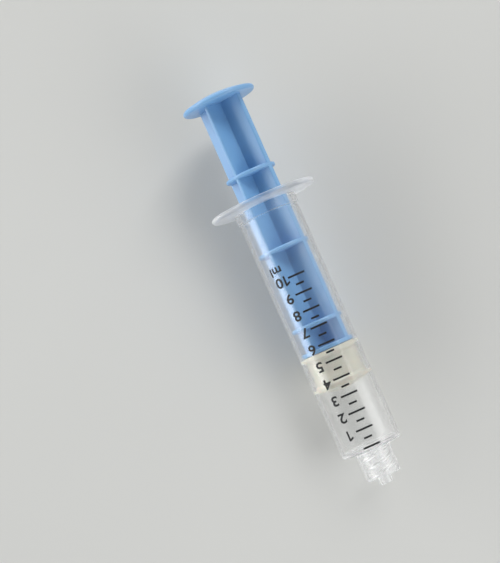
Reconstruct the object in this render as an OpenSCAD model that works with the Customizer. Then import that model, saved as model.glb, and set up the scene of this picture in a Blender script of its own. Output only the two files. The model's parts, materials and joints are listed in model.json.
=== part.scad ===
// Ten millilitre loss of resistance syringe with a luer lock tip, lying on its side.
// +Y runs along the barrel from the tip to the thumb disc, and the printed scale faces up.
// The origin is on the table, under the middle of the whole length.

/* [Barrel] */
// Inside diameter of the barrel
bore_d = 15.7; // [14.5:0.1:17.5]
// Thickness of the barrel's wall
wall_t = 0.95; // [0.7:0.05:1.4]
// Length from the flange's rear face to the front shoulder
barrel_l = 76.9; // [74.4:0.5:90]
// Thickness of the front wall at its rim
front_wall_t = 1.2; // [1.2:0.1:2]
// Rounding of the front shoulder's edge
shoulder_round = 0.5; // [0.3:0.1:0.7]
// Width of the lead-in chamfer at the barrel's mouth
mouth_chamfer = 0.5; // [0.2:0.1:0.8]

/* [Finger flange] */
// Diameter of the finger flange
flange_d = 31.4; // [26:0.2:36]
// Thickness of the finger flange, which has a full round rim
flange_t = 1.8; // [1.2:0.1:2.4]
// Length of the stiffening collar below the flange
collar_l = 2.85; // [2:0.05:5]
// Height of the collar above the barrel's outside
collar_step = 0.4; // [0.2:0.05:0.8]
// Height of the bead inside the barrel that keeps the plunger in
bead_h = 0.25; // [0.2:0.01:0.28]
// Length of the bead along the barrel
bead_l = 1; // [0.6:0.1:1.6]

/* [Luer lock tip] */
// Outside diameter of the threaded lock collar
lock_d = 10.1; // [9.4:0.1:11.5]
// Length of the lock collar in front of the shoulder
lock_l = 8.45; // [7:0.05:11]
// Inside diameter of the lock collar at the root of its thread
lock_bore_d = 8; // [7.6:0.1:8.6]
// Height of the thread's ridge
thread_h = 0.5; // [0.3:0.05:0.6]
// Advance of the double thread in one turn
thread_lead = 5; // [4:0.5:6]
// Width of the ridge at its root, measured along the axis
thread_root_w = 1.1; // [0.8:0.1:1.5]
// Width of the ridge at its crest, measured along the axis
thread_crest_w = 0.4; // [0.2:0.1:0.6]
// Depth from the collar's mouth to the start of the thread
thread_start = 0.5; // [0.3:0.1:1.5]
// Diameter of the nozzle at its very tip
tip_d = 3.97; // [3.9:0.01:4.1]
// Taper of the nozzle: change of diameter over length
tip_taper = 0.06; // [0.04:0.01:0.08]
// How far the nozzle stands out of the lock collar
tip_reach = 2.2; // [2.1:0.1:4]
// Diameter of the channel through the nozzle
channel_d = 2.2; // [1.2:0.1:2.6]
// Diameter of the thick root of the nozzle
root_d = 6.4; // [5.6:0.1:6.8]
// Length of the thick root of the nozzle
root_l = 1.1; // [0.8:0.1:2]

/* [Plunger rod] */
// Diameter of the thumb disc
thumb_d = 21.8; // [18:0.2:26]
// Thickness of the thumb disc's full round rim
thumb_t = 1.5; // [1.2:0.1:2.2]
// Height of the thumb disc's crown above its rim
crown_h = 1.1; // [0.6:0.1:1.5]
// Diameter of the flat on top of the crown
crown_flat_d = 11; // [8:0.5:13]
// Gap between the thumb disc and the flange when the syringe is empty
thumb_gap = 11; // [6:0.1:16]
// Thickness of the two side ribs
side_rib_t = 1.9; // [1.4:0.1:2.4]
// Thickness of the upper and lower ribs at their edges
edge_rib_t = 1.1; // [0.8:0.05:1.4]
// Thickness of the upper and lower ribs at their root
root_rib_t = 1.5; // [1.2:0.1:2]
// Clearance of the ribs' edges inside the barrel
rib_clear = 0.5; // [0.4:0.05:1.2]
// Turn of the ribs about the rod, from level
rib_turn = 36; // [0:1:89]
// Thickness of the round webs and of the seat behind the piston
web_t = 1.2; // [0.8:0.1:1.6]
// Clearance of the webs inside the barrel
web_clear = 0.35; // [0.33:0.01:0.6]
// Distance from the thumb disc to the middle of the first web
web_first = 21.9; // [18:0.1:23]
// Distance between the webs
web_pitch = 23.1; // [20:0.1:23.5]
// Clearance of the seat inside the barrel
seat_clear = 0.1; // [0.05:0.01:0.15]

/* [Piston] */
// Length of the piston from its rear face to its sealing lip
piston_l = 10.5; // [9:0.1:13]
// Height of the piston's conical nose, and of the chamber's matching floor
nose_l = 1.3; // [0.6:0.1:1.5]
// Flat at the middle of the nose
nose_flat_d = 3; // [2.6:0.1:5]
// Clearance of the sealing lip in the barrel
lip_clear = 0.02; // [0.01:0.01:0.05]
// Length of the sealing lip
lip_l = 1.3; // [0.8:0.1:2]
// Clearance of the rear guide ring in the barrel
ring_clear = 0.08; // [0.05:0.01:0.1]
// Length of the rear guide ring
ring_l = 1.4; // [0.8:0.1:2]
// Depth of the waist between the lip and the ring
waist_depth = 0.7; // [0.3:0.05:1]
// Diameter of the rod's neck where it enters the piston
neck_d = 5; // [3.6:0.1:6]
// Length of the neck
neck_l = 2; // [1.5:0.1:3]
// Diameter of the rod's snap head inside the piston
head_d = 7.6; // [6.6:0.1:9]
// Length of the snap head
head_l = 3; // [2:0.1:3.5]
// Clearance all round the neck and the snap head
snap_clear = 0.1; // [0.05:0.01:0.1]
// Millilitres in front of the piston as the syringe lies
fill_ml = 3.6; // [0.5:0.01:10]

/* [Printed scale] */
// Thickness of the printed ink
ink_t = 0.04; // [0.02:0.01:0.08]
// Number of whole millilitres on the scale
scale_ml = 10; // [5:1:10]
// Width of a printed line
line_w = 0.5; // [0.3:0.05:0.8]
// Length of the whole millilitre lines
long_l = 5; // [3:0.1:6]
// Length of the half millilitre lines
short_l = 2.4; // [1.5:0.1:3]
// Height of a numeral
numeral_h = 2.9; // [2.2:0.1:3.6]
// Width of a numeral
numeral_w = 2.1; // [1.4:0.1:2.2]
// Stroke of the numerals
stroke = 0.48; // [0.3:0.02:0.5]
// Gap between the figures of a number
figure_gap = 0.45; // [0.3:0.05:0.8]
// Turn around the barrel from the lines to the numerals
numeral_turn = 30; // [26:1:45]
// Shift of each numeral from its line towards the tip
numeral_shift = 0.45; // [0:0.05:1]
// Turn around the barrel from the lines to the unit
unit_turn = 34; // [26:1:45]
// Distance from the last line to the middle of the unit
unit_shift = 3; // [2.8:0.1:6]
// Height of the unit's tall letter
unit_h = 2.4; // [1.8:0.1:3]

/* [Hidden] */
$fn = 96;

CLEAR = [0.92, 0.95, 0.97, 0.45];
BLUE = [0.42, 0.62, 0.86];
IVORY = [0.86, 0.85, 0.80];
INK = [0.08, 0.08, 0.09];

// Every piece is built along Z, with z = 0 at the flange's rear face and the tip towards -Z
bore_r = bore_d / 2;
barrel_r = bore_r + wall_t;
flange_r = flange_d / 2;
flange_rim = flange_t / 2;
thumb_r = thumb_d / 2;
thumb_rim = thumb_t / 2;
collar_r = barrel_r + collar_step;
collar_z = -flange_t - collar_l;
bead_front_z = collar_z - bead_l / 2;
shoulder_z = -barrel_l;
zero_z = shoulder_z + front_wall_t;
ml_l = 1000 / (PI * bore_r * bore_r);
lock_z = shoulder_z - lock_l;
tip_z = lock_z - tip_reach;
tip_r = tip_d / 2;
lip_z = zero_z + fill_ml * ml_l;
piston_rear_z = lip_z + piston_l;
seat_z = piston_rear_z + snap_clear;
thumb_z = thumb_gap + fill_ml * ml_l;
neck_front_z = seat_z - neck_l;
head_front_z = neck_front_z - head_l;
scale_end_z = zero_z + scale_ml * ml_l;

// The flange's rim and the shoulder's edge both rest on the table, which sets the tilt
rim_z = -flange_rim;
rim_off = flange_r - flange_rim;
edge_z = shoulder_z + shoulder_round;
edge_off = barrel_r - shoulder_round;
rest_run = rim_z - edge_z;
rest_rise = rim_off - edge_off;
rest_span = sqrt(rest_run * rest_run + rest_rise * rest_rise);
tilt = atan2(rest_rise, rest_run) + asin((flange_rim - shoulder_round) / rest_span);
lift = edge_off * cos(tilt) - edge_z * sin(tilt) + shoulder_round;
front_y = tip_z * cos(tilt) - tip_r * sin(tilt);
crown_z = thumb_z + thumb_t + crown_h;
rear_y = crown_z * cos(tilt) + crown_flat_d / 2 * sin(tilt);

// A small overlap for cuts that pass through a face
over = 0.5;

// Lays a piece that was built along Z down on the table
module lay()
    translate([0, -(front_y + rear_y) / 2, lift])
        rotate([tilt - 90, 0, 0])
            children();

// A disc with a full round rim, from z = 0 up to its thickness
module round_disc(r, t)
    rotate_extrude() {
        square([r - t / 2, t]);
        intersection() {
            translate([r - t / 2, t / 2]) circle(d = t);
            translate([r - t / 2, 0]) square([t, t]);
        }
    }

// The thumb disc's crown: a ball's cap that rises from the rim to a flat
module thumb_crown() {
    crown_r = thumb_r - thumb_rim;
    flat_r = crown_flat_d / 2;
    rise = (crown_r * crown_r - flat_r * flat_r - crown_h * crown_h) / (2 * crown_h);
    intersection() {
        cylinder(r = thumb_r, h = crown_h);
        translate([0, 0, -rise]) sphere(r = norm([crown_r, rise]));
    }
}

// A pair of ribs across the rod, thinner towards their edges
module rib_pair(span, root_t, edge_t, length)
    linear_extrude(height = length)
        polygon([[-span / 2, -edge_t / 2], [0, -root_t / 2], [span / 2, -edge_t / 2],
            [span / 2, edge_t / 2], [0, root_t / 2], [-span / 2, edge_t / 2]]);

// Solid of revolution under the barrel's outer surface, from inside the flange down to the rounded shoulder
module barrel_body()
    rotate_extrude() {
        translate([0, edge_z]) square([barrel_r, -edge_z - flange_t]);
        translate([0, shoulder_z]) square([edge_off, -shoulder_z - flange_t]);
        intersection() {
            translate([edge_off, edge_z]) circle(r = shoulder_round);
            translate([edge_off, shoulder_z]) square([shoulder_round, shoulder_round]);
        }
        polygon([[0, -flange_rim], [collar_r, -flange_rim], [collar_r, collar_z], [barrel_r, collar_z - collar_step],
            [0, collar_z - collar_step]]);
    }

// Chamber, mouth chamfer and fluid channel, taken out of the barrel
module barrel_hollow() {
    translate([0, 0, zero_z]) cylinder(r = bore_r, h = over - zero_z);
    translate([0, 0, zero_z - nose_l]) cylinder(r1 = nose_flat_d / 2, r2 = bore_r, h = nose_l);
    translate([0, 0, -mouth_chamfer]) cylinder(r1 = bore_r, r2 = bore_r + mouth_chamfer, h = mouth_chamfer);
    translate([0, 0, tip_z - over]) cylinder(d = channel_d, h = zero_z - tip_z);
}

// Bead inside the mouth: a square front face to stop the plunger, a ramp behind to snap it in
module keeper_bead()
    rotate_extrude()
        polygon([[bore_r - bead_h, bead_front_z], [bore_r + wall_t / 2, bead_front_z],
            [bore_r + wall_t / 2, bead_front_z + bead_l], [bore_r, bead_front_z + bead_l],
            [bore_r - bead_h, bead_front_z + bead_l / 2]]);

// Tapered nozzle with its thick root, which reaches up into the front wall
module nozzle() {
    base_r = tip_r + (shoulder_z - tip_z) * tip_taper / 2;
    translate([0, 0, tip_z]) cylinder(r1 = tip_r, r2 = base_r, h = shoulder_z - tip_z);
    translate([0, 0, shoulder_z - root_l]) cylinder(d = root_d, h = root_l + over);
}

module barrel()
    color(CLEAR) lay() {
        difference() {
            union() {
                translate([0, 0, -flange_t]) round_disc(flange_r, flange_t);
                barrel_body();
                nozzle();
            }
            barrel_hollow();
        }
        keeper_bead();
    }

// One ridge of the lock collar's thread, anchored in the wall
module thread_ridge(length) {
    ridge_r = lock_bore_d / 2;
    anchor_r = (lock_bore_d + lock_d) / 4;
    root_a = 180 * thread_root_w / thread_lead;
    crest_a = 180 * thread_crest_w / thread_lead;
    steps = 4;
    linear_extrude(height = length, twist = -360 * length / thread_lead, slices = ceil(length * 5), $fn = 24)
        polygon(concat(
            [for (i = [-steps : steps]) let (a = crest_a * i / steps) (ridge_r - thread_h) * [cos(a), sin(a)]],
            [for (i = [steps : -1 : -steps]) let (a = root_a * i / steps) anchor_r * [cos(a), sin(a)]]));
}

module luer_lock_collar() {
    thread_l = lock_l - root_l - 2 * thread_start;
    color(CLEAR) lay() {
        translate([0, 0, lock_z])
            difference() {
                cylinder(d = lock_d, h = lock_l);
                translate([0, 0, -over]) cylinder(d = lock_bore_d, h = lock_l + 2 * over);
            }
        for (turn = [0, 180])
            translate([0, 0, lock_z + thread_start])
                rotate(turn) thread_ridge(thread_l);
    }
}

module plunger_rod() {
    stem_l = thumb_z + thumb_rim - seat_z;
    rib_span = 2 * (bore_r - rib_clear);
    web_r = bore_r - web_clear;
    color(BLUE) lay() {
        translate([0, 0, thumb_z]) round_disc(thumb_r, thumb_t);
        translate([0, 0, thumb_z + thumb_t]) thumb_crown();
        translate([0, 0, seat_z]) {
            rotate(-rib_turn) rib_pair(rib_span, side_rib_t, side_rib_t, stem_l);
            rotate(90 - rib_turn) rib_pair(rib_span, root_rib_t, edge_rib_t, stem_l);
        }
        for (i = [0 : 2])
            translate([0, 0, thumb_z - web_first - i * web_pitch - web_t / 2])
                cylinder(r = web_r, h = web_t);
        translate([0, 0, seat_z]) cylinder(r = bore_r - seat_clear, h = web_t);
        translate([0, 0, neck_front_z]) cylinder(d = neck_d, h = neck_l);
        translate([0, 0, head_front_z]) cylinder(d1 = neck_d, d2 = head_d, h = head_l);
    }
}

// Room for the snap head inside the piston
module snap_socket() {
    head_clear_d = head_d + 2 * snap_clear;
    neck_clear_d = neck_d + 2 * snap_clear;
    undercut_z = neck_front_z + snap_clear;
    translate([0, 0, undercut_z]) cylinder(d = neck_clear_d, h = piston_rear_z - undercut_z + over);
    translate([0, 0, neck_front_z]) cylinder(d = head_clear_d, h = snap_clear);
    translate([0, 0, head_front_z]) cylinder(d1 = neck_clear_d, d2 = head_clear_d, h = head_l);
    translate([0, 0, head_front_z - snap_clear]) cylinder(d = neck_clear_d, h = snap_clear);
}

module piston() {
    lip_r = bore_r - lip_clear;
    ring_r = bore_r - ring_clear;
    waist_r = bore_r - waist_depth;
    color(IVORY) lay()
        difference() {
            rotate_extrude()
                polygon([[0, piston_rear_z], [ring_r, piston_rear_z], [ring_r, piston_rear_z - ring_l],
                    [waist_r, piston_rear_z - ring_l - waist_depth], [waist_r, lip_z + lip_l + waist_depth],
                    [lip_r, lip_z + lip_l], [lip_r, lip_z], [nose_flat_d / 2, lip_z - nose_l], [0, lip_z - nose_l]]);
            snap_socket();
        }
}

// One printed line across the top of the barrel
module scale_line(volume, length) {
    arc = length / barrel_r * 180 / PI;
    translate([0, 0, zero_z + volume * ml_l - line_w / 2])
        rotate(-90 - arc / 2)
            rotate_extrude(angle = arc)
                translate([barrel_r, 0]) square([ink_t, line_w]);
}

module long_lines()
    color(INK) lay()
        for (volume = [0 : scale_ml]) scale_line(volume, long_l);

module short_lines()
    color(INK) lay()
        for (volume = [0.5 : 1 : scale_ml - 0.5]) scale_line(volume, short_l);

// Prints a flat figure on the barrel, with its top towards the tip
module print_on_barrel(z, turn, reach)
    intersection() {
        translate([0, 0, z - reach])
            difference() {
                cylinder(r = barrel_r + ink_t, h = 2 * reach);
                translate([0, 0, -over]) cylinder(r = barrel_r, h = 2 * (reach + over));
            }
        translate([0, 0, z]) rotate(-turn) rotate([90, 0, 0])
            linear_extrude(height = barrel_r + over) rotate(180) children();
    }

// Strokes that the figures are made of
module bar(x, y, w, h)
    translate([x, y]) square([w, h]);

module slant(x0, y0, x1, y1, w)
    polygon([[x0, y0], [x0 + w, y0], [x1 + w, y1], [x1, y1]]);

module pill(w, h)
    union() {
        for (side = [-1, 1]) translate([0, side * (h - w) / 2]) circle(d = w);
        square([w, h - w], center = true);
    }

module pill_ring(w, h)
    difference() {
        pill(w, h);
        pill(w - 2 * stroke, h - 2 * stroke);
    }

// Two bowls, one above the other, that share a stroke in the middle
bowl_h = (numeral_h + stroke) / 2;
half_w = numeral_w / 2;
half_h = numeral_h / 2;

module bowl(side) {
    shift = (numeral_h - bowl_h) / 2;
    translate([0, side * shift])
        if (bowl_h > numeral_w) pill_ring(numeral_w, bowl_h);
        else rotate(90) pill_ring(bowl_h, numeral_w);
}

module figure_0() pill_ring(numeral_w, numeral_h);

module figure_1() {
    bar(0, -half_h, stroke, numeral_h);
    slant(-half_w, half_h - 2 * stroke, 0, half_h - stroke, stroke);
}

module figure_2() {
    difference() {
        bowl(1);
        bar(-numeral_w, -stroke, numeral_w, stroke + bowl_h / 2);
        bar(-numeral_w, -stroke, 2 * numeral_w, 1.6 * stroke);
    }
    slant(-half_w, -half_h + stroke, half_w - 1.4 * stroke, 0.6 * stroke, 1.3 * stroke);
    bar(-half_w, -half_h, numeral_w, stroke);
}

module figure_3()
    difference() {
        union() {
            bowl(1);
            bowl(-1);
        }
        bar(-half_w, -bowl_h / 2, half_w * 0.8, bowl_h);
    }

module figure_4() {
    bar(half_w - 2 * stroke, -half_h, stroke, numeral_h);
    bar(-half_w, -half_h + 1.6 * stroke, numeral_w, stroke);
    slant(-half_w, -half_h + 2.4 * stroke, half_w - 2 * stroke, half_h, stroke);
}

module figure_5() {
    bar(-half_w * 0.8, half_h - stroke, numeral_w * 0.85, stroke);
    bar(-half_w * 0.8, -stroke / 2, stroke, half_h + stroke / 2);
    difference() {
        bowl(-1);
        bar(-numeral_w, -bowl_h * 0.55, numeral_w * 0.8, bowl_h * 0.4);
    }
}

module figure_6() {
    bowl(-1);
    difference() {
        pill_ring(numeral_w, numeral_h);
        bar(0, -numeral_h, numeral_w, numeral_h * 1.25);
    }
}

module figure_7() {
    bar(-half_w, half_h - stroke, numeral_w, stroke);
    slant(-half_w * 0.5, -half_h, half_w - 1.15 * stroke, half_h - stroke, 1.15 * stroke);
}

module figure_8() {
    bowl(1);
    bowl(-1);
}

module figure(value) {
    if (value == 0) figure_0();
    if (value == 1) figure_1();
    if (value == 2) figure_2();
    if (value == 3) figure_3();
    if (value == 4) figure_4();
    if (value == 5) figure_5();
    if (value == 6) figure_6();
    if (value == 7) figure_7();
    if (value == 8) figure_8();
    if (value == 9) rotate(180) figure_6();
}

module numerals()
    color(INK) lay()
        for (value = [1 : scale_ml])
            print_on_barrel(zero_z + value * ml_l - numeral_shift, numeral_turn, numeral_h)
                if (value < 10) figure(value);
                else for (place = [0, 1])
                    translate([(place - 0.5) * (numeral_w + figure_gap), 0])
                        figure(place == 0 ? floor(value / 10) : value % 10);

// Small m: three legs under two round arches
module letter_m(w, h) {
    arch_w = (w + stroke) / 2;
    for (i = [0, 1])
        translate([i * (arch_w - stroke), 0]) {
            difference() {
                translate([arch_w / 2, h - arch_w / 2]) circle(d = arch_w);
                translate([arch_w / 2, h - arch_w / 2]) circle(d = arch_w - 2 * stroke);
                bar(0, 0, arch_w, h - arch_w / 2);
            }
            bar(arch_w - stroke, 0, stroke, h - arch_w / 2);
        }
    bar(0, 0, stroke, h);
}

module unit_mark() {
    m_w = unit_h;
    m_h = unit_h * 0.7;
    unit_w = m_w + figure_gap + stroke;
    color(INK) lay()
        print_on_barrel(scale_end_z + unit_shift, unit_turn, unit_h)
            translate([-unit_w / 2, -unit_h / 2]) {
                letter_m(m_w, m_h);
                bar(m_w + figure_gap, 0, stroke, unit_h);
            }
}

barrel();
luer_lock_collar();
plunger_rod();
piston();
long_lines();
short_lines();
numerals();
unit_mark();
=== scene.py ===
import json
import math

import bmesh
import bpy
from mathutils import Matrix, Vector


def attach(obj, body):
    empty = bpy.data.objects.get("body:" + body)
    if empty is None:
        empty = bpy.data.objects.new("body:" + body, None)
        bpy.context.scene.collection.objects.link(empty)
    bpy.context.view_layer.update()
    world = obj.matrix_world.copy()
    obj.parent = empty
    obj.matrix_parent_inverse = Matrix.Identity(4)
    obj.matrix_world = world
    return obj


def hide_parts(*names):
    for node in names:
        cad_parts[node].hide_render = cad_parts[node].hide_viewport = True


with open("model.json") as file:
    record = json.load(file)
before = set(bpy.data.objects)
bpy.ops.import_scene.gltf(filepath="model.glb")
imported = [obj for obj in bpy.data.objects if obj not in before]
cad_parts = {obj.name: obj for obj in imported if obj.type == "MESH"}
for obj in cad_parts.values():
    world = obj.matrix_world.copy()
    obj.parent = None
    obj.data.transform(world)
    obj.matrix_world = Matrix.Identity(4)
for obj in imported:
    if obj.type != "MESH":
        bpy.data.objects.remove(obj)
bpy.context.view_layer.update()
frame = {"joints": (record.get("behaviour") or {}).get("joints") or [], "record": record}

# Barrel
# One clear polypropylene moulding: tube, round finger flange, stepped collar, inner stop bead, front wall,
# tapered nozzle and the threaded lock collar round it. It is injection moulded, so it is faintly milky and
# its corners are slightly rounded.
MM = 0.001

bore_r = 7.85
wall_t = 0.95
barrel_r = bore_r + wall_t
barrel_l = 76.9
barrel_sides = 192
shoulder_z = -barrel_l
shoulder_round = 0.5
front_wall_t = 1.2
zero_z = shoulder_z + front_wall_t
mouth_chamfer = 0.5
mouth_round = 0.15
flange_r = 15.7
flange_t = 1.8
flange_rim_steps = 14
collar_l = 2.85
collar_step = 0.4
collar_r = barrel_r + collar_step
collar_z = -(flange_t + collar_l)
bead_h = 0.25
bead_l = 1.0
bead_z = collar_z - bead_l / 2
bead_round = 0.06
lock_r = 5.05
lock_bore_r = 4.0
lock_l = 8.45
lock_z = shoulder_z - lock_l
thread_h = 0.5
thread_lead = 5.0
thread_starts = 2
thread_root_w = 1.1
thread_crest_w = 0.4
thread_start = 0.5
thread_fade = 0.9
thread_rows = 72
nozzle_tip_r = 1.985
nozzle_taper = 0.03
nozzle_reach = 2.2
nozzle_z = lock_z - nozzle_reach
channel_r = 1.1
root_r = 3.2
root_l = 1.1
root_z = shoulder_z - root_l
nose_l = 1.3
nose_flat_r = 1.5
corner_round = 0.2

# The syringe's own frame: z runs along the axis from the flange's rear face to the thumb, y points down.
slide = next(joint for joint in frame["joints"] if joint["name"] == "plunger_slide")
front_face = next(mount for mount in frame["record"]["mounts"] if mount["name"] == "flange_front_face")
along = Vector(slide["axis"]).normalized()
across = Vector((1, 0, 0))
down = along.cross(across)
flange_rear = Vector(front_face["pos_m"]) + along * flange_t * MM
flange_rear.x = 0
lay = Matrix((across, down, along)).transposed().to_4x4()
lay.translation = flange_rear
lay = lay @ Matrix.Scale(MM, 4)

# Points closer than the first are merged, and places closer than the second are taken as one.
merge_gap = 1e-4
place_gap = 1e-3
crease = math.radians(35)


def turned(outline, sides, closed):
    """A solid of revolution, from (radius, height) points; an open outline begins and ends on the axis."""
    bm = bmesh.new()
    points = [bm.verts.new((radius, 0, height)) for radius, height in outline]
    for a, b in zip(points, points[1:]):
        bm.edges.new((a, b))
    if closed:
        bm.edges.new((points[-1], points[0]))
    bmesh.ops.spin(
        bm,
        geom=bm.verts[:] + bm.edges[:],
        cent=(0, 0, 0),
        axis=(0, 0, 1),
        angle=math.tau,
        steps=sides,
        use_merge=True,
    )
    bmesh.ops.remove_doubles(bm, verts=bm.verts, dist=merge_gap)
    bmesh.ops.recalc_face_normals(bm, faces=bm.faces)
    return bm


def round_off(bm, edges, radius, segments):
    """Rounds off some edges of a mesh."""
    bmesh.ops.bevel(
        bm,
        geom=edges,
        offset=radius,
        offset_type="OFFSET",
        affect="EDGES",
        segments=segments,
        profile=0.5,
        material=-1,
        clamp_overlap=True,
    )


def round_rings(bm, corners, radius, segments):
    """Rounds off the ring edges that pass through the given (radius, height) corners."""
    def on_corner(vert):
        reach = vert.co.xy.length
        return any(abs(reach - r) < place_gap and abs(vert.co.z - z) < place_gap for r, z in corners)

    def on_ring(edge):
        a, b = edge.verts
        level = abs(a.co.z - b.co.z) < place_gap
        even = abs(a.co.xy.length - b.co.xy.length) < place_gap
        return level and even and on_corner(a) and on_corner(b)

    round_off(bm, [edge for edge in bm.edges if on_ring(edge)], radius, segments)


def shade_smooth(mesh):
    """Shades a mesh smooth all over, apart from its creases."""
    mesh.polygons.foreach_set("use_smooth", [True] * len(mesh.polygons))
    mesh.set_sharp_from_angle(angle=crease)


def laid(bm, name, *finishes):
    """Lays a piece made in the syringe's own frame on the table, as a smooth-shaded object."""
    bm.transform(lay)
    mesh = bpy.data.meshes.new(name)
    bm.to_mesh(mesh)
    bm.free()
    shade_smooth(mesh)
    for finish in finishes:
        mesh.materials.append(finish)
    piece = bpy.data.objects.new(name, mesh)
    bpy.context.scene.collection.objects.link(piece)
    return piece


def full_round(radius, top, thickness, steps):
    """The half circle of a disc's full round rim, from its top face to its underside."""
    rim = thickness / 2
    turns = [math.pi * step / steps for step in range(steps + 1)]
    return [(radius - rim + rim * math.sin(a), top - rim + rim * math.cos(a)) for a in turns]


lock_rows = [lock_z + lock_l * row / thread_rows for row in range(thread_rows + 1)]
nozzle_root_r = nozzle_tip_r + nozzle_taper * (root_z - nozzle_z)
barrel_outline = [(bore_r + mouth_chamfer, 0)]
barrel_outline += full_round(flange_r, 0, flange_t, flange_rim_steps)
barrel_outline += [
    (collar_r, -flange_t),
    (collar_r, collar_z),
    (barrel_r, collar_z - collar_step),
    (barrel_r, shoulder_z),
    (lock_r, shoulder_z),
    (lock_r, lock_z),
]
barrel_outline += [(lock_bore_r, height) for height in lock_rows]
barrel_outline += [
    (root_r, shoulder_z),
    (root_r, root_z),
    (nozzle_root_r, root_z),
    (nozzle_tip_r, nozzle_z),
    (channel_r, nozzle_z),
    (channel_r, zero_z - nose_l),
    (nose_flat_r, zero_z - nose_l),
    (bore_r, zero_z),
    (bore_r, bead_z),
    (bore_r - bead_h, bead_z),
    (bore_r - bead_h, bead_z + bead_l / 2),
    (bore_r, bead_z + bead_l),
    (bore_r, -mouth_chamfer),
]
barrel_mesh = turned(barrel_outline, barrel_sides, closed=True)

# The lock collar's thread: two ridges on its inner wall, which fade out at both ends of the wall.
thread_pitch = thread_lead / thread_starts
for vert in barrel_mesh.verts:
    reach = vert.co.xy.length
    if abs(reach - lock_bore_r) < place_gap and lock_z < vert.co.z < shoulder_z - place_gap:
        climb = vert.co.z - lock_z - thread_start
        turn = math.atan2(vert.co.y, vert.co.x) / math.tau
        off_crest = ((climb - turn * thread_lead) / thread_pitch + 0.5) % 1 - 0.5
        slope = (thread_root_w / 2 - abs(off_crest) * thread_pitch) / ((thread_root_w - thread_crest_w) / 2)
        fade = min(vert.co.z - lock_z, shoulder_z - vert.co.z) / thread_fade
        ridge = thread_h * max(0, min(1, slope)) * max(0, min(1, fade))
        vert.co.xy *= (lock_bore_r - ridge) / reach

barrel_corners = [
    (collar_r, -flange_t),
    (collar_r, collar_z),
    (barrel_r, collar_z - collar_step),
    (lock_r, shoulder_z),
    (lock_r, lock_z),
    (root_r, root_z),
    (nozzle_root_r, root_z),
    (nozzle_tip_r, nozzle_z),
    (bore_r, zero_z),
]
mouth_corners = [(bore_r + mouth_chamfer, 0), (bore_r, -mouth_chamfer)]
bead_corners = [(bore_r - bead_h, bead_z), (bore_r - bead_h, bead_z + bead_l / 2)]
round_rings(barrel_mesh, [(barrel_r, shoulder_z)], shoulder_round, segments=4)
round_rings(barrel_mesh, barrel_corners, corner_round, segments=3)
round_rings(barrel_mesh, mouth_corners, mouth_round, segments=2)
round_rings(barrel_mesh, bead_corners, bead_round, segments=2)


def new_finish(name):
    """A new material, with its node tree and its main shader."""
    material = bpy.data.materials.new(name)
    material.use_nodes = True
    return material, material.node_tree, material.node_tree.nodes["Principled BSDF"]


def noise(tree, scale, detail):
    """A noise texture on the piece's own coordinates."""
    coords = tree.nodes.new("ShaderNodeTexCoord")
    texture = tree.nodes.new("ShaderNodeTexNoise")
    texture.inputs["Scale"].default_value = scale
    texture.inputs["Detail"].default_value = detail
    tree.links.new(coords.outputs["Object"], texture.inputs["Vector"])
    return texture.outputs["Fac"]


def ranged(tree, value, start, end, first, last):
    """A value that goes from first to last while another goes from start to end."""
    change = tree.nodes.new("ShaderNodeMapRange")
    change.inputs["From Min"].default_value = start
    change.inputs["From Max"].default_value = end
    change.inputs["To Min"].default_value = first
    change.inputs["To Max"].default_value = last
    tree.links.new(value, change.inputs["Value"])
    return change.outputs["Result"]


# Nearly all of a noise lies between these two levels.
noise_low = 0.3
noise_high = 0.7


def mottle(tree, shader, texture, dark, light):
    """Colours a surface in two near shades of one colour."""
    ramp = tree.nodes.new("ShaderNodeValToRGB")
    ramp.color_ramp.elements[0].position = noise_low
    ramp.color_ramp.elements[0].color = (*dark, 1)
    ramp.color_ramp.elements[1].position = noise_high
    ramp.color_ramp.elements[1].color = (*light, 1)
    tree.links.new(texture, ramp.inputs["Fac"])
    tree.links.new(ramp.outputs["Color"], shader.inputs["Base Color"])


def polish(tree, shader, texture, smooth, rough):
    """Gives a surface a roughness that varies between two values."""
    roughness = ranged(tree, texture, noise_low, noise_high, smooth, rough)
    tree.links.new(roughness, shader.inputs["Roughness"])


def grain(tree, shader, texture, strength, depth):
    """Gives a surface a fine unevenness."""
    bump = tree.nodes.new("ShaderNodeBump")
    bump.inputs["Strength"].default_value = strength
    bump.inputs["Distance"].default_value = depth
    tree.links.new(texture, bump.inputs["Height"])
    tree.links.new(bump.outputs["Normal"], shader.inputs["Normal"])


def mixed(tree, share, first, second):
    """Two shaders mixed, by the share of the second."""
    mix = tree.nodes.new("ShaderNodeMixShader")
    tree.links.new(share, mix.inputs["Fac"])
    tree.links.new(first, mix.inputs[1])
    tree.links.new(second, mix.inputs[2])
    return mix.outputs["Shader"]


# The wall's turn at which the milkiness starts to grow and at which it is full, and how much it grows.
edge_on_start = 0.45
edge_on_full = 1
edge_on_milk = 0.35


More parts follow.
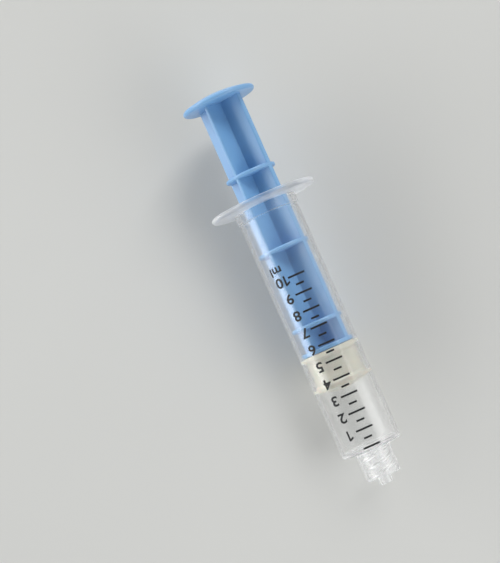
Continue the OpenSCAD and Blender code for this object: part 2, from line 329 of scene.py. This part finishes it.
def moulded_clear(name, clarity, smooth, rough):
    """Clear plastic that lets lamps and soft light through. What clarity leaves over is a pale
    milkiness, which grows where the wall is seen edge on."""
    plastic, tree, clear = new_finish(name)
    clear.inputs["IOR"].default_value = 1.49
    edge_on = tree.nodes.new("ShaderNodeLayerWeight")
    edge_on.inputs["Blend"].default_value = 0.5
    facing = edge_on.outputs["Facing"]
    clearness = ranged(tree, facing, edge_on_start, edge_on_full, clarity, clarity - edge_on_milk)
    tree.links.new(clearness, clear.inputs["Transmission Weight"])
    cloud = noise(tree, scale=120, detail=3)
    mottle(tree, clear, cloud, dark=(0.982, 0.984, 0.986), light=(0.994, 0.995, 0.996))
    polish(tree, clear, cloud, smooth, rough)
    grain(tree, clear, noise(tree, scale=260, detail=2), strength=0.001, depth=0.0002)
    see_through = tree.nodes.new("ShaderNodeBsdfTransparent")
    see_through.inputs["Color"].default_value = (0.99, 0.992, 0.994, 1)
    path = tree.nodes.new("ShaderNodeLightPath")
    surface = clear.outputs["BSDF"]
    for ray in ("Is Diffuse Ray", "Is Shadow Ray"):
        surface = mixed(tree, path.outputs[ray], surface, see_through.outputs["BSDF"])
    tree.links.new(surface, tree.nodes["Material Output"].inputs["Surface"])
    return plastic


tube_plastic = moulded_clear("clear_plastic", clarity=0.99, smooth=0.12, rough=0.18)
cloudy_plastic = moulded_clear("cloudy_plastic", clarity=0.94, smooth=0.14, rough=0.22)
milky_plastic = moulded_clear("milky_plastic", clarity=0.98, smooth=0.28, rough=0.38)
barrel_finishes = [tube_plastic, cloudy_plastic, milky_plastic]
cloudy_index = barrel_finishes.index(cloudy_plastic)
milky_index = barrel_finishes.index(milky_plastic)
for face in barrel_mesh.faces:
    middle = face.calc_center_median()
    reach = middle.xy.length
    flange_face = reach > collar_r
    step_face = barrel_r < reach < collar_r and collar_z - collar_step < middle.z < collar_z
    front_wall = reach > lock_r and middle.z < zero_z + corner_round
    if flange_face or step_face or front_wall:
        face.material_index = milky_index
    elif middle.z < zero_z:
        face.material_index = cloudy_index

barrel = laid(barrel_mesh, "clear_barrel", *barrel_finishes)
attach(barrel, "barrel")
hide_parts("barrel", "luer_lock_collar")

# Piston
# One ivory elastomer moulding: a sealing lip with a conical nose, a waist and a rear guide ring, with a
# socket for the rod's snap head in its back. It is compression moulded, so its surface is satin.
fill_ml = 3.6
ml_mm3 = 1000
ml_l = ml_mm3 / (math.pi * bore_r**2)
piston_l = 10.5
piston_round = 0.3
piston_sides = 128
lip_z = zero_z + fill_ml * ml_l
lip_l = 1.3
piston_rear_z = lip_z + piston_l
ring_l = 1.4
squeeze = 0.01
seal_r = bore_r + squeeze
waist_depth = 0.7
waist_r = bore_r - waist_depth
waist_slope_l = 0.6
waist_front_z = lip_z + lip_l + waist_slope_l
waist_rear_z = piston_rear_z - ring_l - waist_slope_l
snap_clear = 0.1
seat_z = piston_rear_z + snap_clear
neck_r = 2.5
neck_l = 2.0
neck_z = seat_z - neck_l
head_r = 3.8
head_l = 3.0
head_z = neck_z - head_l

piston_outline = [
    (0, lip_z - nose_l),
    (nose_flat_r, lip_z - nose_l),
    (seal_r, lip_z),
    (seal_r, lip_z + lip_l),
    (waist_r, waist_front_z),
    (waist_r, waist_rear_z),
    (seal_r, piston_rear_z - ring_l),
    (seal_r, piston_rear_z),
    (neck_r + snap_clear, piston_rear_z),
    (neck_r + snap_clear, neck_z - snap_clear),
    (head_r + snap_clear, neck_z - snap_clear),
    (neck_r, head_z - snap_clear),
    (0, head_z - snap_clear),
]
piston_mesh = turned(piston_outline, piston_sides, closed=False)
piston_corners = [
    (seal_r, lip_z),
    (seal_r, lip_z + lip_l),
    (waist_r, waist_front_z),
    (waist_r, waist_rear_z),
    (seal_r, piston_rear_z - ring_l),
    (seal_r, piston_rear_z),
]
round_rings(piston_mesh, piston_corners, piston_round, segments=3)

ivory_elastomer, tree, ivory = new_finish("ivory_elastomer")
ivory.inputs["Subsurface Weight"].default_value = 0.2
ivory.inputs["Subsurface Scale"].default_value = 0.002
cloud = noise(tree, scale=300, detail=4)
mottle(tree, ivory, cloud, dark=(0.59, 0.577, 0.49), light=(0.65, 0.637, 0.55))
polish(tree, ivory, cloud, smooth=0.4, rough=0.55)
grain(tree, ivory, noise(tree, scale=4000, detail=2), strength=0.1, depth=0.00005)

piston = laid(piston_mesh, "ivory_piston", ivory_elastomer)
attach(piston, "piston")
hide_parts("piston")

# Plunger rod
# One blue polypropylene moulding: four ribs in a cross, three round webs between them, a seat behind the
# piston with a snap head that is pushed into it, and a round thumb disc. Its faces are satin from the mould.
rod_l = 76.1
thumb_z = seat_z + rod_l
thumb_r = 10.9
thumb_t = 1.5
thumb_rim_steps = 12
crown_h = 1.1
crown_flat_r = 5.5
crown_steps = 8
side_rib_t = 1.9
edge_rib_t = 1.1
root_rib_t = 1.5
rib_clear = 0.5
rib_reach = bore_r - rib_clear
rib_turn = math.radians(36)
rib_round = 0.3
valley_round = 0.15
web_t = 1.2
web_clear = 0.35
web_r = bore_r - web_clear
web_round = 0.5
web_count = 3
web_first = 21.9
web_pitch = 23.1
seat_clear = 0.1
seat_r = bore_r - seat_clear
seat_round = 0.25
disc_sides = 128
snap_sides = 96


def raise_face(bm, face, height):
    """Extrudes a flat face upwards into a solid."""
    grown = bmesh.ops.extrude_face_region(bm, geom=[face])
    top = [part for part in grown["geom"] if isinstance(part, bmesh.types.BMVert)]
    bmesh.ops.translate(bm, verts=top, vec=(0, 0, height))


# Two ribs keep one thickness, and the other two get thinner from their root to their edge.
half_side = side_rib_t / 2
half_edge = edge_rib_t / 2
half_root = root_rib_t / 2 - (root_rib_t - edge_rib_t) / 2 * half_side / rib_reach
rib_corners = [(half_root, half_side), (half_edge, rib_reach)]
cross_corners = rib_corners + [(-x, y) for x, y in reversed(rib_corners)]
cross_corners += [(-rib_reach, half_side), (-rib_reach, -half_side)]
cross_corners += [(-x, -y) for x, y in rib_corners] + [(x, -y) for x, y in reversed(rib_corners)]
cross_corners += [(rib_reach, -half_side), (rib_reach, half_side)]
rod_mesh = bmesh.new()
cross = rod_mesh.faces.new([rod_mesh.verts.new((x, y, seat_z)) for x, y in cross_corners])
raise_face(rod_mesh, cross, thumb_z + thumb_t / 2 - seat_z)
bmesh.ops.recalc_face_normals(rod_mesh, faces=rod_mesh.faces)
long_edges = [edge for edge in rod_mesh.edges if edge.calc_length() > rod_l]
outer_edges = [edge for edge in long_edges if edge.verts[0].co.xy.length > rib_reach / 2]
valley_edges = [edge for edge in long_edges if edge.verts[0].co.xy.length < rib_reach / 2]
round_off(rod_mesh, outer_edges, rib_round, segments=3)
round_off(rod_mesh, valley_edges, valley_round, segments=2)
bmesh.ops.rotate(rod_mesh, verts=rod_mesh.verts, cent=(0, 0, 0), matrix=Matrix.Rotation(-rib_turn, 3, "Z"))


def web(radius, bottom, rounding):
    """A round plate with a softened rim."""
    top = bottom + web_t
    bm = turned([(0, bottom), (radius, bottom), (radius, top), (0, top)], disc_sides, closed=False)
    round_rings(bm, [(radius, bottom), (radius, top)], rounding, segments=3)
    return bm


# The thumb disc's crown is part of a ball, with a flat in its middle.
crown_r = thumb_r - thumb_t / 2
ball_drop = (crown_r**2 - crown_flat_r**2 - crown_h**2) / (2 * crown_h)
ball_r = math.hypot(crown_r, ball_drop)
ball_z = thumb_z + thumb_t - ball_drop
crown_w = crown_r - crown_flat_r
crown_reaches = [crown_flat_r + crown_w * step / crown_steps for step in range(crown_steps)]
thumb_outline = [(0, thumb_z + thumb_t + crown_h)]
thumb_outline += [(reach, ball_z + math.sqrt(ball_r**2 - reach**2)) for reach in crown_reaches]
thumb_outline += full_round(thumb_r, thumb_z + thumb_t, thumb_t, thumb_rim_steps) + [(0, thumb_z)]
snap_outline = [
    (0, head_z),
    (neck_r - snap_clear, head_z),
    (head_r, neck_z),
    (neck_r, neck_z),
    (neck_r, seat_z + web_t / 2),
    (0, seat_z + web_t / 2),
]
web_heights = [thumb_z - web_first - web_pitch * index for index in range(web_count)]
rod_parts = [
    turned(thumb_outline, disc_sides, closed=False),
    turned(snap_outline, snap_sides, closed=False),
    web(seat_r, seat_z, seat_round),
]
rod_parts += [web(web_r, height - web_t / 2, web_round) for height in web_heights]

blue_plastic, tree, blue = new_finish("blue_plastic")
blue.inputs["Specular IOR Level"].default_value = 0.7
cloud = noise(tree, scale=150, detail=3)
mottle(tree, blue, cloud, dark=(0.182, 0.388, 0.66), light=(0.198, 0.408, 0.69))
polish(tree, blue, cloud, smooth=0.28, rough=0.36)
grain(tree, blue, noise(tree, scale=3000, detail=3), strength=0.08, depth=0.00005)


def finished_mesh(piece):
    """A new mesh of a piece as its modifiers or its type leave it."""
    bpy.context.view_layer.update()
    return bpy.data.meshes.new_from_object(piece.evaluated_get(bpy.context.evaluated_depsgraph_get()))


rod = laid(rod_mesh, "blue_plunger_rod", blue_plastic)
loose_parts = [laid(part, f"rod_part_{index}", blue_plastic) for index, part in enumerate(rod_parts)]
for part in loose_parts:
    union = rod.modifiers.new(f"join_{part.name}", "BOOLEAN")
    union.operation = "UNION"
    union.solver = "EXACT"
    union.object = part
joined = finished_mesh(rod)
rod.modifiers.clear()
rod.data = joined
for part in loose_parts:
    bpy.data.objects.remove(part)
shade_smooth(rod.data)
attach(rod, "plunger_rod")
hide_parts("plunger_rod")

# Printed scale
# Black ink pad-printed on the outside of the barrel: a line at each millilitre, a short one at each half, a
# numeral beside each long line and the unit behind the last. The numerals stand with their tops to the tip.
scale_ml = 10
ink_underside = 0.006
ink_top = 0.03
ink_low = barrel_r + ink_underside
ink_high = barrel_r + ink_top
line_w = 0.55
line_steps = 16
long_l = 5.0
short_l = 2.4
figure_h = 2.95
figure_widen = 1.2
figure_bolder = 0.025
letter_gap = 0.16
strip_w = 0.3
figure_turn = math.radians(30)
figure_shift = 0.45
unit_turn = math.radians(34)
unit_shift = 3.0
unit_h = 2.5

black_ink, tree, ink = new_finish("black_ink")
patches = noise(tree, scale=2500, detail=4)
mottle(tree, ink, patches, dark=(0.006, 0.006, 0.007), light=(0.016, 0.016, 0.018))
polish(tree, ink, patches, smooth=0.4, rough=0.6)


def arc_lines(heights, length):
    """Lines printed round the top of the barrel, one at each height."""
    bm = bmesh.new()
    sweep = length / barrel_r
    for height in heights:
        low = height - line_w / 2
        high = height + line_w / 2
        section = [(ink_low, low), (ink_high, low), (ink_high, high), (ink_low, high)]
        end = bm.faces.new([bm.verts.new((radius, 0, z)) for radius, z in section])
        bmesh.ops.rotate(
            bm,
            verts=end.verts,
            cent=(0, 0, 0),
            matrix=Matrix.Rotation(-math.pi / 2 - sweep / 2, 3, "Z"),
        )
        bmesh.ops.spin(
            bm,
            geom=[end] + end.edges[:] + end.verts[:],
            cent=(0, 0, 0),
            axis=(0, 0, 1),
            angle=sweep,
            steps=line_steps,
            use_duplicate=False,
        )
    bmesh.ops.recalc_face_normals(bm, faces=bm.faces)
    return bm


def flat_letter(letter):
    """A flat letter or word, 1 high and 1 thick, from x = 0 and y = 0 up, and its width."""
    bm = bmesh.new()
    if letter == "1":
        corners = [(0.52, 0), (0.52, 1), (0.34, 1), (0, 0.82), (0, 0.64), (0.32, 0.78), (0.32, 0)]
        stroke = bm.faces.new([bm.verts.new((x / figure_widen, y, 0)) for x, y in corners])
        raise_face(bm, stroke, height=1)
    else:
        curve = bpy.data.curves.new(letter, "FONT")
        curve.body = letter
        curve.extrude = 0.5
        curve.offset = figure_bolder
        text = bpy.data.objects.new(letter, curve)
        bpy.context.scene.collection.objects.link(text)
        flat = finished_mesh(text)
        bpy.data.objects.remove(text)
        bm.from_mesh(flat)
        bpy.data.meshes.remove(flat)
        bmesh.ops.remove_doubles(bm, verts=bm.verts, dist=merge_gap)
    lowest = [min(vert.co[axis] for vert in bm.verts) for axis in range(3)]
    size = [max(vert.co[axis] for vert in bm.verts) - lowest[axis] for axis in range(3)]
    bmesh.ops.translate(bm, verts=bm.verts, vec=(-lowest[0], -lowest[1], -lowest[2] - size[2] / 2))
    bmesh.ops.scale(bm, verts=bm.verts, vec=(1 / size[1], 1 / size[1], 1 / size[2]))
    bmesh.ops.recalc_face_normals(bm, faces=bm.faces)
    return bm, size[0] / size[1]


def gathered(parts):
    """Several small meshes as one."""
    whole = bmesh.new()
    for part in parts:
        mesh = bpy.data.meshes.new("part")
        part.to_mesh(mesh)
        part.free()
        whole.from_mesh(mesh)
        bpy.data.meshes.remove(mesh)
    return whole


def wrapped(letters, height, turn, middle_z):
    """Flat letters cut into narrow strips and wrapped round the barrel, their tops to the tip."""
    parts = []
    reach = 0
    for letter in letters:
        bm, width = flat_letter(letter)
        bmesh.ops.translate(bm, verts=bm.verts, vec=(reach, -0.5, 0))
        reach += width + letter_gap
        parts.append(bm)
    bm = gathered(parts)
    half = (reach - letter_gap) / 2
    bmesh.ops.translate(bm, verts=bm.verts, vec=(-half, 0, 0))
    bmesh.ops.scale(bm, verts=bm.verts, vec=(height * figure_widen, height, 1))
    strips = int(half * height * figure_widen / strip_w)
    for index in range(-strips, strips + 1):
        bmesh.ops.bisect_plane(
            bm,
            geom=bm.verts[:] + bm.edges[:] + bm.faces[:],
            plane_co=(index * strip_w, 0, 0),
            plane_no=(1, 0, 0),
        )
    for vert in bm.verts:
        radius = ink_high if vert.co.z > 0 else ink_low
        angle = turn + vert.co.x / barrel_r
        vert.co = (-radius * math.sin(angle), -radius * math.cos(angle), middle_z - vert.co.y)
    return bm


ml_marks = [zero_z + ml_l * index for index in range(scale_ml + 1)]
half_marks = [mark + ml_l / 2 for mark in ml_marks[:-1]]
numerals = gathered(
    [wrapped(str(ml), figure_h, figure_turn, ml_marks[ml] - figure_shift) for ml in range(1, scale_ml + 1)]
)
unit = wrapped(["ml"], unit_h, unit_turn, ml_marks[-1] + unit_shift)
prints = [
    ("long_line_print", "long_lines", arc_lines(ml_marks, long_l)),
    ("short_line_print", "short_lines", arc_lines(half_marks, short_l)),
    ("numeral_print", "numerals", numerals),
    ("unit_print", "unit_mark", unit),
]
for name, node, bm in prints:
    printed = laid(bm, name, black_ink)
    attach(printed, "barrel")
    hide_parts(node)

# Table
# A plain pale table top that the syringe lies on, wide enough to fill the view. It is matt, so that the
# window leaves no glare on it.
table_half = 2.0

table_mesh = bmesh.new()
bmesh.ops.create_grid(table_mesh, x_segments=1, y_segments=1, size=table_half)
table_top = bpy.data.meshes.new("table_top")
table_mesh.to_mesh(table_top)
table_mesh.free()

pale_table, tree, top_coat = new_finish("pale_table")
top_coat.inputs["Roughness"].default_value = 0.8
top_coat.inputs["Specular IOR Level"].default_value = 0.15
cloud = noise(tree, scale=6, detail=3)
mottle(tree, top_coat, cloud, dark=(0.63, 0.632, 0.607), light=(0.655, 0.657, 0.632))

table_top.materials.append(pale_table)
table = bpy.data.objects.new("table_top", table_top)
bpy.context.scene.collection.objects.link(table)

# Light
# A low wide window on the syringe's left and two soft boxes on its right, one towards the thumb disc and
# one towards the tip. The room round them gives less light from overhead and from the right. The camera,
# gloss and clear plastic see a pale backdrop with a darker ceiling.
lamp_distance = 5.0
ceiling_start = 0.42
ceiling_full = 0.62
right_wall_start = 0.5
right_wall_full = 0.9


def soft_panel(name, direction, width, height, radiance):
    """A rectangular soft lamp that looks at the syringe from a direction."""
    lamp = bpy.data.lights.new(name, "AREA")
    lamp.shape = "RECTANGLE"
    lamp.size = width
    lamp.size_y = height
    lamp.energy = radiance * math.pi * width * height
    panel = bpy.data.objects.new(name, lamp)
    way = Vector(direction).normalized()
    panel.matrix_world = way.to_track_quat("Z", "Y").to_matrix().to_4x4()
    panel.location = way * lamp_distance
    panel.visible_camera = False
    bpy.context.scene.collection.objects.link(panel)


soft_panel("window", (-0.82, 0.5, 0.26), width=8.8, height=2.55, radiance=2.85)
soft_panel("thumb_side_box", (0.5, 0.62, 0.6), width=2.3, height=1.5, radiance=9.5)
soft_panel("tip_side_box", (0.55, -0.6, 0.58), width=4.2, height=2.8, radiance=1.75)


def combined(tree, operation, first, second):
    """One value worked out from two."""
    result = tree.nodes.new("ShaderNodeMath")
    result.operation = operation
    tree.links.new(first, result.inputs[0])
    tree.links.new(second, result.inputs[1])
    return result.outputs["Value"]


world = bpy.data.worlds.new("room")
world.use_nodes = True
tree = world.node_tree
coords = tree.nodes.new("ShaderNodeTexCoord")
way = tree.nodes.new("ShaderNodeSeparateXYZ")
tree.links.new(coords.outputs["Generated"], way.inputs["Vector"])
overhead = ranged(tree, way.outputs["Z"], ceiling_start, ceiling_full, first=1.5, last=0.18)
right_wall = ranged(tree, way.outputs["X"], right_wall_start, right_wall_full, first=1.0, last=0.35)
room = tree.nodes["Background"]
room.inputs["Color"].default_value = (0.97, 0.98, 1.0, 1)
tree.links.new(combined(tree, "MULTIPLY", overhead, right_wall), room.inputs["Strength"])
ceiling = ranged(tree, way.outputs["Z"], ceiling_start, ceiling_full, first=1.0, last=0.27)
backdrop = tree.nodes.new("ShaderNodeBackground")
backdrop.inputs["Color"].default_value = (0.66, 0.66, 0.64, 1)
tree.links.new(ceiling, backdrop.inputs["Strength"])
path = tree.nodes.new("ShaderNodeLightPath")
sees_backdrop = path.outputs["Is Camera Ray"]
for ray in ("Is Glossy Ray", "Is Transmission Ray"):
    sees_backdrop = combined(tree, "MAXIMUM", sees_backdrop, path.outputs[ray])
seen = mixed(tree, sees_backdrop, room.outputs["Background"], backdrop.outputs["Background"])
tree.links.new(seen, tree.nodes["World Output"].inputs["Surface"])
bpy.context.scene.world = world

# Camera
# A long lens above the syringe, turned so that it lies across the picture from upper left to lower right.
# The camera's place and directions are given in the syringe's own frame.
focal_px = 1600
picture_h_px = 563
sensor_mm = 36
nearest_m = 0.01
camera_at = lay @ Vector((-10.96, -452.51, -41.81))
looks = (lay.to_3x3() @ Vector((-0.0035, 0.9989, 0.0476))).normalized()
picture_up = lay.to_3x3() @ Vector((0.4038, -0.0422, 0.9139))
picture_right = looks.cross(picture_up).normalized()
picture_up = picture_right.cross(looks)
lens = bpy.data.cameras.new("camera")
lens.sensor_width = sensor_mm
lens.lens = sensor_mm * focal_px / picture_h_px
lens.clip_start = nearest_m
camera = bpy.data.objects.new("camera", lens)
camera.matrix_world = Matrix((picture_right, picture_up, -looks)).transposed().to_4x4()
camera.location = camera_at
bpy.context.scene.collection.objects.link(camera)
bpy.context.scene.camera = camera
bpy.context.scene.view_settings.view_transform = "Standard"
